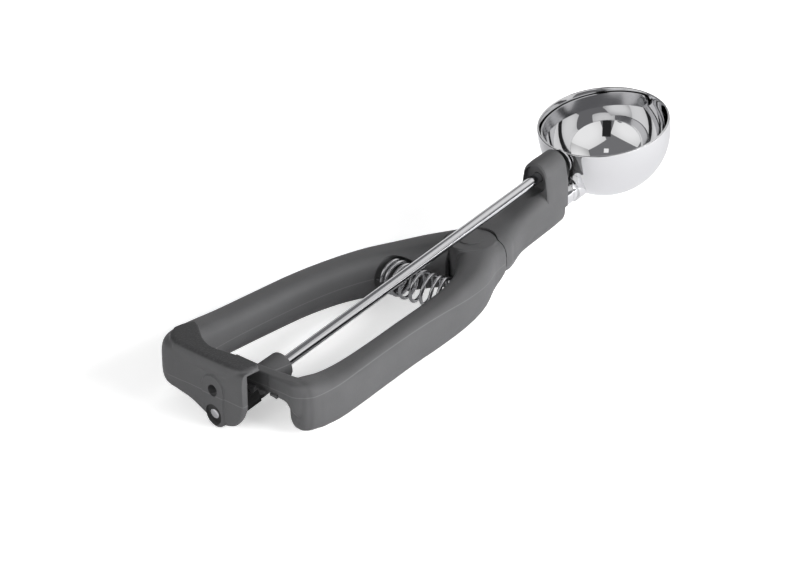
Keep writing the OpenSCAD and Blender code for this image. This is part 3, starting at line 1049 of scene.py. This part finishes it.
    def build(self) -> None:
        """Builds the moulding and hands it over."""
        s = self.sizes
        handle = mould("fixed_half_moulding",
                       [moulded_bar(self.rows), self.deck(), self.nose(), self.web()],
                       self.voxel, self.passes, self.kept)
        pocket = box((s.house_rear + s.wall_rear, s.web_x), (-20, 21), (-60, s.house_top - 2))
        combine(handle, Cut.TAKE_AWAY, [pocket])
        boss = round_bar(-s.rod_reach + 3, 6.6, 3.5, self.place.raised(s.socket_up))
        combine(handle, Cut.ADD, [boss, self.nose(), self.pad(), self.tower()])
        combine(handle, Cut.TAKE_AWAY, self.hinge_seats() + self.openings())
        self.deliver(handle, self.finish, "handle", "handle_nylon", "fixed_handle")


# ---------------------------------------------------------------- moving half


@dataclass
class MovingHalf(Assembly):
    """The moving moulding: lever arm, hinge eye and toothed rack arm."""

    finish: Finish
    voxel: float = 0.3
    passes: int = 6
    kept: float = 0.6
    rack_left: float = 4.8
    rack_right: float = -24.6
    rows: tuple[Row, ...] = (
        (-190.2, -24.9, -31.9, 5.6, 14.8, 3), (-189, -25.0, -31.9, 9.0, 17.2, 3.2),
        (-186, -25.0, -32.0, 11.8, 18.0, 3.4), (-176, -25.2, -33.2, 12.4, 16.8, 3.4),
        (-164, -24.0, -33.6, 11.6, 16.2, 3.2), (-148, -21.6, -33.6, 10.6, 16.2, 3.2),
        (-130, -18.8, -33.4, 10.6, 16.2, 3.2), (-114, -16.8, -33.0, 11.0, 16.4, 3.2),
        (-100, -15.3, -31.6, 11.2, 17.0, 3.2), (-89, -12.4, -29.8, 12.4, 17.6, 3.4),
        (-80, -7.0, -28.0, 15.2, 17.8, 3.3), (-74, -4.1, -27.2, 17.4, 16.6, 3.1),
        (-69, -2.8, -26.5, 17.2, 15.2, 3.0), (-62, -1.0, -25.6, 16.0, 13.8, 3.0))
    corner_rows: tuple[Row, ...] = (
        (-190.0, -14, -26.1, 5.0, 6.6, 6), (-189.7, -17.5, -26.5, 5.2, 7.4, 5),
        (-189.2, -21.6, -27.0, 6.0, 8.2, 4.6), (-188.2, -24.6, -29.4, 8.0, 12.8, 4),
        (-184.2, -25.5, -32.2, 11.2, 17.4, 3.4), (-178, -25.2, -33.0, 12.2, 17.0, 3.4))

    @property
    def root(self) -> float:
        """Distance of the rack's root from the rod's axis."""
        return self.sizes.pitch_r + self.sizes.dedendum * self.sizes.gear_module

    @property
    def upright(self) -> Matrix:
        """Carries a shape that lies along X upright into the hinge."""
        return self.place.at_hinge() @ UPRIGHT

    def root_level(self, radius: float) -> float:
        """Gives the level of the rack's root at a distance from the hinge's axis."""
        tilt = self.place.tilt
        return -(radius - self.place.hinge.x) * math.tan(tilt) + self.root / math.cos(tilt)

    def rack_arm(self) -> Shape:
        """Makes the arc that reaches over the pinion.

        Returns:
            The bmesh.
        """
        s = self.sizes
        near, far, top = s.rack_r - s.rack_t / 2, s.rack_r + s.rack_t / 2, s.rack_top
        section = [(near, self.root_level(near)), (far, self.root_level(far)), (far, top - 0.7),
                   (far - 0.7, top), (near + 0.7, top), (near, top - 0.7)]
        left = math.atan2(self.rack_left, s.rack_r)
        right = math.atan2(self.rack_right, s.rack_r)
        return ring_skin([[Vector((self.place.hinge.x - r * math.cos(a), r * math.sin(a), z))
                           for r, z in section] for a in np.linspace(left, right, 60)])

    def tooth(self) -> Shape:
        """Makes one rack tooth that points down at the pinion, in the hinge's plan frame.

        Returns:
            The bmesh.
        """
        s = self.sizes
        half = math.pi * s.gear_module / 4 - s.tooth_play
        slope = math.tan(math.radians(s.pressure_deg))
        tip = s.pitch_r - s.addendum * s.gear_module
        wide, narrow = half + (self.root - s.pitch_r) * slope, half - (s.pitch_r - tip) * slope
        outline = [(-wide, self.root + 1.2), (-wide, self.root), (-narrow, tip), (narrow, tip),
                   (wide, self.root), (wide, self.root + 1.2)]
        start = -(s.rack_r - self.place.hinge.x) / math.cos(self.place.tilt) - s.rack_t / 2
        turn = Matrix.Translation((-self.place.hinge.x, 0, 0)) @ self.place.rod()
        return ring_skin([[turn @ Vector((x, y, z)) for y, z in outline]
                          for x in (start, start + s.rack_t)])

    def teeth(self) -> Shape:
        """Repeats the tooth along the arm with Geometry Nodes.

        Returns:
            The bmesh of all teeth.
        """
        s = self.sizes
        step = math.atan(math.pi * s.gear_module / s.rack_r)
        one = piece("rack_tooth", self.tooth())
        turned_copies(s.rack_teeth, step, -0.5 * step, self.finish.material()).build(one)
        one.data.transform(Matrix.Translation((self.place.hinge.x, 0, 0)))
        return taken_up(one)

    def front_cut(self) -> Shape:
        """Makes what ends the lever's front at the neck and at the eye.

        Returns:
            The bmesh.
        """
        outline = (arc(self.sizes.eye_r - self.sizes.melt, 177.4, -43.3, 60)
                   + [(6.4, -20), (40, -20), (40, 40), (-20, 40), (-20, 0.4)])
        return prism(outline, -25, 25, self.place.at_hinge())

    def slots(self) -> list[Shape]:
        """Makes the slots, seats and the gear's clearance that are taken away.

        Returns:
            The shapes to take away.
        """
        s, turn, upright = self.sizes, self.place.at_hinge(), self.upright
        half = s.tongue / 2 + s.cheek_gap
        closing = turn @ Matrix.Rotation(s.closed, 4, "Z") @ turn.inverted() @ self.place.rod()
        return [prism(arc(s.eye_r - 0.25, 0, 354, 60), -half, half, turn),
                box((-2, 60), (-4.4, 40), (-half, half), turn),
                box((-20, 40), (0, 60), (-half, half), turn),
                round_bar(-30, 60, s.pin_bore, upright),
                round_bar(s.eye_half - s.cap_sunk, 5, s.cap_r, upright),
                round_bar(-s.eye_half - 4.6, 5, s.cap_r, upright),
                round_bar(0, 12, s.seat_r, s.seat(s.spring_to)),
                round_bar(-s.rod_reach, 40, s.tip_r + s.gear_room, closing)]

    def build(self) -> None:
        """Builds the moulding and hands it over."""
        s = self.sizes
        arm = piece("lever_arm", moulded_bar(self.rows))
        combine(arm, Cut.TAKE_AWAY, [self.front_cut()])
        eye = lathe([(-s.eye_half, s.eye_r - s.eye_bevel),
                     (-s.eye_half + 1.8 * s.eye_bevel, s.eye_r), (s.eye_half - 0.2, s.eye_r),
                     (s.eye_half, s.eye_r - 0.2)], self.upright)
        lever = mould("squeeze_lever_moulding",
                      [taken_up(arm), eye, self.rack_arm(), moulded_bar(self.corner_rows)],
                      self.voxel, self.passes, self.kept)
        combine(lever, Cut.ADD, [self.teeth()])
        combine(lever, Cut.TAKE_AWAY, self.slots())
        self.deliver(lever, self.finish, "lever", "handle_nylon", "squeeze_lever")


# ---------------------------------------------------------------- bowl, stem, rod and spring


class Bowl(Assembly):
    """The pressed bowl with its rounded lip, and the stem that carries it."""

    def profile(self) -> list[tuple[float, float]]:
        """Gives the bowl's wall as (level, radius), from the inner pole over the lip.

        Returns:
            The profile, inside first.
        """
        s = self.sizes
        inner = s.bowl_r - s.wall
        down = np.linspace(-math.pi / 2, 0, 49)
        points = [(inner * math.sin(a), inner * math.cos(a)) for a in down[:-1]]
        points[0] = (-inner, 0)
        points += [(z, inner) for z in (0, 1.2, 2.4)]
        lip = s.wall / 2
        points += [(s.band - lip + lip * math.sin(a), inner + lip - lip * math.cos(a))
                   for a in np.linspace(0, math.pi, 11)]
        points += [(z, s.bowl_r) for z in (2.4, 1.2)]
        points += [(s.bowl_r * math.sin(a), s.bowl_r * math.cos(a)) for a in down[::-1]]
        points[-1] = (-s.bowl_r, 0)
        return points

    def build_bowl(self) -> None:
        """Builds the bowl and drills it for the rod and the far pivot."""
        s, rod = self.sizes, self.place.rod()
        bowl = piece("polished_bowl", lathe(self.profile(), rod @ UPRIGHT, 256))
        combine(bowl, Cut.TAKE_AWAY, [round_bar(-s.bowl_r - 1, 3, s.rod_r + s.run_fit, rod),
                                      round_bar(s.bowl_r - s.wall - 2, 4, 1.0, rod)])
        self.deliver(bowl, MIRROR_STEEL, "handle", "polished_steel", "scoop_bowl")

    def build_stem(self) -> None:
        """Builds the grooved stem, fitted to the bowl's outside."""
        s = self.sizes
        r, start = s.stem_r, s.tower_at - s.stem_sunk
        groove = s.tower_at + 4.4
        profile = [(start, r - 0.4), (start + 0.4, r), (groove - 0.5, r), (groove - 0.3, r - 0.35),
                   (groove + 0.3, r - 0.35), (groove + 0.5, r), (start + 20, r)]
        stem = piece("bowl_stem_bar", lathe(profile, self.place.raised(s.stem_z), 96))
        ball = lathe([(s.bowl_r * -math.cos(a), s.bowl_r * math.sin(a) if 0 < i < 64 else 0)
                      for i, a in enumerate(np.linspace(0, math.pi, 65))],
                     Matrix.Identity(4), 128)
        combine(stem, Cut.TAKE_AWAY, [ball])
        self.deliver(stem, MIRROR_STEEL, "handle", "polished_steel", "bowl_stem")


class DriveRod(Assembly):
    """The ground rod that turns the blade."""

    def build(self) -> None:
        """Builds the rod with its rounded rear edge."""
        s = self.sizes
        rear, front, edge, riveted = -s.rod_reach - s.rod_tail, -s.blade_r, 0.45, 1.2
        profile = [(rear + edge * (1 - math.cos(a)), s.rod_r - edge * (1 - math.sin(a)))
                   for a in np.linspace(0, math.pi / 2, 6)]
        profile += [(front - 0.2, s.rod_r), (front, s.rod_r - 0.2), (front, riveted),
                    (front + 0.7, riveted)]
        rod = piece("ground_drive_rod", lathe(profile, self.place.rod(), 96))
        self.deliver(rod, ROD_STEEL, "drive", "polished_steel", "drive_rod")


class ReturnSpring(Assembly):
    """The coil spring between the two halves, wound along a bowed axis."""

    def tree(self) -> NodeShape:
        """Builds the tree that winds the wire and lays the coil along a bowed axis.

        Returns:
            The tree's wrapper.
        """
        s = self.sizes
        chord = (Vector(s.spring_to) - Vector(s.spring_from)).length
        shape = NodeShape("coiled_wire", {
            "Wire diameter": ("NodeSocketFloat", s.wire),
            "Coil radius": ("NodeSocketFloat", s.coil / 2),
            "Flare": ("NodeSocketFloat", s.flare),
            "Curls": ("NodeSocketFloat", float(s.curls)),
            "Length": ("NodeSocketFloat", chord),
            "Fixed seat": ("NodeSocketVector", s.spring_from),
            "Bow": ("NodeSocketVector", s.spring_bow),
            "Lever seat": ("NodeSocketVector", s.spring_to)})
        add, maths, given = shape.add, shape.maths, shape.given
        lead = maths("MULTIPLY", given["Wire diameter"], 1.6)
        height = maths("MULTIPLY_ADD", lead, -2.0, given["Length"])
        wide = maths("MULTIPLY", given["Coil radius"], given["Flare"])
        coil = add("GeometryNodeCurveSpiral",
                   {"Resolution": 40, "Rotations": given["Curls"], "Start Radius": wide,
                    "End Radius": given["Coil radius"], "Height": height})
        # the curls close up towards both ends
        along = add("GeometryNodeSplineParameter", output="Factor")
        wave = maths("SINE", maths("MULTIPLY", along, 2 * math.pi))
        lift = maths("MULTIPLY_ADD", maths("MULTIPLY", wave, height), -1 / 16, lead)
        wound = add("GeometryNodeSetPosition",
                    {"Geometry": coil, "Offset": add("ShaderNodeCombineXYZ", {2: lift})})
        whole = add_node(shape.tree, "GeometryNodeJoinGeometry", {0: wound})
        # the wire's two ends run straight into the seats
        top = maths("SUBTRACT", given["Length"], lead)
        for out, low, high in ((wide, 0.0, lead), (given["Coil radius"], top, given["Length"])):
            end = add("GeometryNodeCurvePrimitiveLine",
                      {"Start": add("ShaderNodeCombineXYZ", {0: out, 2: low}),
                       "End": add("ShaderNodeCombineXYZ", {0: out, 2: high})})
            shape.tree.links.new(end, whole.inputs[0])
        axis = add("GeometryNodeCurveQuadraticBezier",
                   {"Resolution": 32, "Start": given["Fixed seat"], "Middle": given["Bow"],
                    "End": given["Lever seat"]})
        x, y, z = add_node(shape.tree, "ShaderNodeSeparateXYZ",
                           {0: add("GeometryNodeInputPosition")}).outputs
        spot = add_node(shape.tree, "GeometryNodeSampleCurve",
                        {"Curves": axis, "Factor": maths("DIVIDE", z, given["Length"])},
                        mode="FACTOR").outputs
        sideways = add("ShaderNodeVectorMath", {0: spot["Tangent"], 1: spot["Normal"]},
                       operation="CROSS_PRODUCT")
        moved = spot["Position"]
        for direction, amount in ((spot["Normal"], x), (sideways, y)):
            reach = add("ShaderNodeVectorMath", {0: direction, "Scale": amount},
                        operation="SCALE")
            moved = add("ShaderNodeVectorMath", {0: moved, 1: reach}, operation="ADD")
        bowed = add("GeometryNodeSetPosition", {"Geometry": whole.outputs[0], "Position": moved})
        section = add("GeometryNodeCurvePrimitiveCircle",
                      {"Resolution": 14, "Radius": maths("MULTIPLY", given["Wire diameter"], 0.5)})
        wire = add("GeometryNodeCurveToMesh",
                   {"Curve": bowed, "Profile Curve": section, "Fill Caps": True})
        shape.finish(wire, WIRE_STEEL.material())
        return shape

    def build(self) -> None:
        """Builds the spring between the two halves and moves it into the frame."""
        s = self.sizes
        spring = self.tree().build(piece("wound_return_spring", bmesh.new()))
        self.place.settle(spring)
        dress(spring, WIRE_STEEL, 60)
        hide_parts("return_spring")
        start = (Vector(s.spring_from) + self.place.shift) * MM
        end = (Vector(s.spring_to) + self.place.shift) * MM
        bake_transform(spring)
        LOG.info("%s: %d faces", spring.name, len(spring.data.polygons))


class FrontBush(Assembly):
    """The black bearing sleeve in the tower, with a collar that hangs lower than the rod."""

    def build(self) -> None:
        """Builds the sleeve and its collar, and bores them for the rod."""
        s, rod = self.sizes, self.place.rod()
        front = -s.bowl_r - 0.95
        sleeve = round_bar(s.tower_at - s.bush_sunk, 3.5, s.bush_r - 0.01, rod)
        bush = piece("front_bearing_bush", sleeve)
        points = []
        for x, drop, radius in ((s.tower_at, 0.6, 4.0), (front - 0.4, 0.6, 3.7),
                                (front, 0.6, 3.4), (s.tower_at, 3.2, 4.6),
                                (front - 0.4, 3.2, 4.4), (front, 3.2, 4.0)):
            points += [rod @ p for p in circle_points(x, 0, -drop, radius)]
        collar = piece("collar", wrapped(points))
        behind = box((s.tower_x - 20, s.tower_x + 1.21), (-20, 20), (-30, 20))
        combine(collar, Cut.TAKE_AWAY, [behind])
        combine(bush, Cut.ADD, [taken_up(collar)])
        combine(bush, Cut.TAKE_AWAY, [round_bar(s.tower_at - 12, 30, s.rod_r + s.run_fit, rod)])
        self.deliver(bush, BLACK_ACETAL, "handle", "black_acetal", "front_bush")


# ---------------------------------------------------------------- nodes shown as they are


def dress_nodes(frame: dict[str, Any], nylon: Finish) -> None:
    """Gives the CAD nodes that stay in sight their finishes.

    Args:
        nylon: The handles' finish.
    """
    finishes = {
        "drive_pinion": BLACK_ACETAL, "pinion_washer": WHITE_ACETAL,
        "thrust_washer": STRIP_STEEL, "stem_ferrule": MIRROR_STEEL, "blade_tip_pin": PIN_STEEL,
        "blade_rivet": PIN_STEEL, "pinion_pin": PIN_STEEL, "hinge_pin": PIN_STEEL,
        "hinge_caps": nylon, "sweep_blade": STRIP_STEEL,
    }
    for name, finish in finishes.items():
        node = frame["nodes"][name]
        node.data.materials.clear()
        node.data.materials.append(finish.material())
        LOG.info("%s: %s", name, finish.label)


# ---------------------------------------------------------------- studio


@dataclass
class Studio:
    """A white sweep, soft lights, dark cards for the polished metal, and the camera."""

    place: Place
    eye: tuple[float, float, float] = (-758.5, -603.8, 421.6)
    right: tuple[float, float, float] = (0.68085, -0.7324, -0.00592)
    up: tuple[float, float, float] = (0.33221, 0.30161, 0.89369)
    lens: float = 126.0

    def camera(self) -> None:
        """Sets the camera at the photograph's viewing angle."""
        data = bpy.data.cameras.new("studio_camera")
        data.lens = self.lens
        data.sensor_width = 36.0
        data.clip_start, data.clip_end = 0.01, 20.0
        camera = link("studio_camera", data)
        right, up = Vector(self.right), Vector(self.up)
        turn = Matrix((right, up, right.cross(up))).transposed().to_4x4()
        camera.matrix_world = Matrix.Translation((Vector(self.eye) + self.place.shift) * MM) @ turn
        bpy.context.scene.camera = camera

    def plane(self, name: str, centre: Vector, towards: Vector, width: float,
              height: float) -> Thing:
        """Makes a flat stage plane that faces a point.

        Args:
            name: Name of the plane.
            centre: Where it stands.
            towards: What it faces.
            width: Its width.
            height: Its height.

        Returns:
            The plane.
        """
        mesh = bmesh.new()
        bmesh.ops.create_grid(mesh, x_segments=1, y_segments=1, size=0.5)
        thing = raw_piece(name, mesh)
        turn = (towards - centre).to_track_quat("Z", "Y").to_matrix().to_4x4()
        thing.matrix_world = (Matrix.Translation(centre) @ turn
                              @ Matrix.Diagonal((width, height, 1, 1)))
        return thing

    def floor(self) -> None:
        """Lays the white floor."""
        floor = self.plane("white_floor", Vector((0, 0, 0)), Vector((0, 0, 1)), 6, 6)
        s = Paint("white_paper")
        # polished metal sees a paler grey sheet, so that its outline stands out from the white
        path = add_node(s.tree, "ShaderNodeLightPath").outputs
        floor.data.materials.append(s.surface({
            "Base Color": s.mix(path["Is Glossy Ray"], "F4F4F4", "E6E6E8"), "Roughness": 0.9,
            "Emission Color": linear("FFFFFF"),
            "Emission Strength": s.maths("MULTIPLY", path["Is Camera Ray"], 0.47)}))

    def card(self, name: str, colour: str, edge: str, centre: Vector, width: float,
             height: float) -> None:
        """Stands a card that only reflections show, shaded off from its middle.

        Args:
            name: Name of the card.
            colour: Its colour in the middle.
            edge: Its colour at the edge.
            centre: Where it stands; it faces the tool.
            width: Its width.
            height: Its height.
        """
        card = self.plane(name, centre, Vector((0, 0, 0.03)), width, height)
        s = Paint(name)
        away = s.add("ShaderNodeVectorMath", {0: s.place}, "Value", operation="LENGTH")
        shade = s.mix(s.band(away, 0.15, 0.7), colour, edge)
        card.data.materials.append(s.end(s.add("ShaderNodeEmission", {"Color": shade})))
        card.visible_camera = False
        card.visible_shadow = False
        card.visible_diffuse = False

    def light(self, name: str, centre: Vector, size: float, power: float) -> None:
        """Hangs a square soft light that faces the tool.

        Args:
            name: Name of the light.
            centre: Where it hangs.
            size: Its side.
            power: Its power in watts.
        """
        data = bpy.data.lights.new(name, "AREA")
        data.shape = "SQUARE"
        data.size = size
        data.energy = power
        lamp = link(name, data)
        turn = (centre - Vector((0, 0, 0.02))).to_track_quat("Z", "Y").to_matrix().to_4x4()
        lamp.matrix_world = Matrix.Translation(centre) @ turn
        lamp.visible_glossy = False

    def world(self) -> None:
        """Fills the room: white for the camera, a paler and a greyer white for what it lights."""
        world = bpy.data.worlds.new("white_room")
        bpy.context.scene.world = world
        world.use_nodes = True
        tree = world.node_tree
        tree.nodes.clear()
        path = add_node(tree, "ShaderNodeLightPath")
        room = add_node(tree, "ShaderNodeBackground", {0: linear("FFFFFF"), 1: 0.31})
        mirrored = add_node(tree, "ShaderNodeBackground", {0: linear("7A7A7C"), 1: 1.0})
        seen = add_node(tree, "ShaderNodeBackground", {0: linear("FFFFFF"), 1: 1.0})
        lit = add_node(tree, "ShaderNodeMixShader",
                       {0: path.outputs["Is Glossy Ray"], 1: room.outputs[0],
                        2: mirrored.outputs[0]})
        mix = add_node(tree, "ShaderNodeMixShader",
                       {0: path.outputs["Is Camera Ray"], 1: lit.outputs[0], 2: seen.outputs[0]})
        add_node(tree, "ShaderNodeOutputWorld", {0: mix.outputs[0]})

    def build(self) -> None:
        """Sets up the whole studio."""
        scene = bpy.context.scene
        scene.view_settings.view_transform = "Standard"
        self.world()
        self.floor()
        # two wide soft boxes flank the camera, under a dark ceiling with one small lamp
        self.light("right_soft_light", Vector((0.35, -0.9, 0.2)), 0.9, 36.0)
        self.light("left_soft_light", Vector((-0.95, 0.02, 0.2)), 0.7, 8.0)
        for name, colour, edge, centre, width, height in (
                ("right_box", "FFFFFF", "E6E6E6", (-0.1, -0.92, 0.52), 1.5, 1.15),
                ("left_box", "FFFFFF", "E6E6E6", (-0.93, 0.19, 0.36), 1.3, 0.75),
                ("camera_gap", "2C2C2D", "2C2C2D", (-0.86, -0.62, 0.42), 0.34, 0.8),
                ("white_sweep", "F2F2F2", "D8D8D8", (0.8, 0.65, 0.32), 1.5, 0.75),
                ("far_box", "FFFFFF", "BEBEBE", (0.56, -0.22, 0.76), 1.3, 0.75),
                ("ceiling_lamp", "FFFFFF", "FFFFFF", (-0.31, -0.21, 0.93), 0.14, 0.14)):
            self.card(name, colour, edge, Vector(centre), width, height)
        self.camera()


# ---------------------------------------------------------------- the whole tool


def main() -> None:
    """Builds every piece in order, then the studio."""
    logging.basicConfig(level=logging.INFO, format="%(name)s: %(message)s")
    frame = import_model()
    place = Place.from_frame(frame)
    sizes = Sizes()
    deck = (sizes.house_top + place.shift.z) * MM
    nylon = MouldedNylon(deck_low=deck - 1.1 * MM, deck_high=deck - 0.4 * MM,
                         deck_front=(place.shift.x - 187) * MM,
                         field_end=(place.shift.y + 15) * MM,
                         parting_z=(place.shift.z - 30.5) * MM, parting_rise=0.7 * MM)
    lever_nylon = MouldedNylon("glass_filled_nylon_of_lever",
                               parting_z=(place.shift.z - 27.1) * MM)
    FixedHalf(sizes, place, nylon).build()
    MovingHalf(sizes, place, lever_nylon).build()
    bowl = Bowl(sizes, place)
    bowl.build_bowl()
    bowl.build_stem()
    DriveRod(sizes, place).build()
    FrontBush(sizes, place).build()
    ReturnSpring(sizes, place).build()
    dress_nodes(frame, lever_nylon)
    Studio(place).build()


if __name__ == "__main__":
    main()
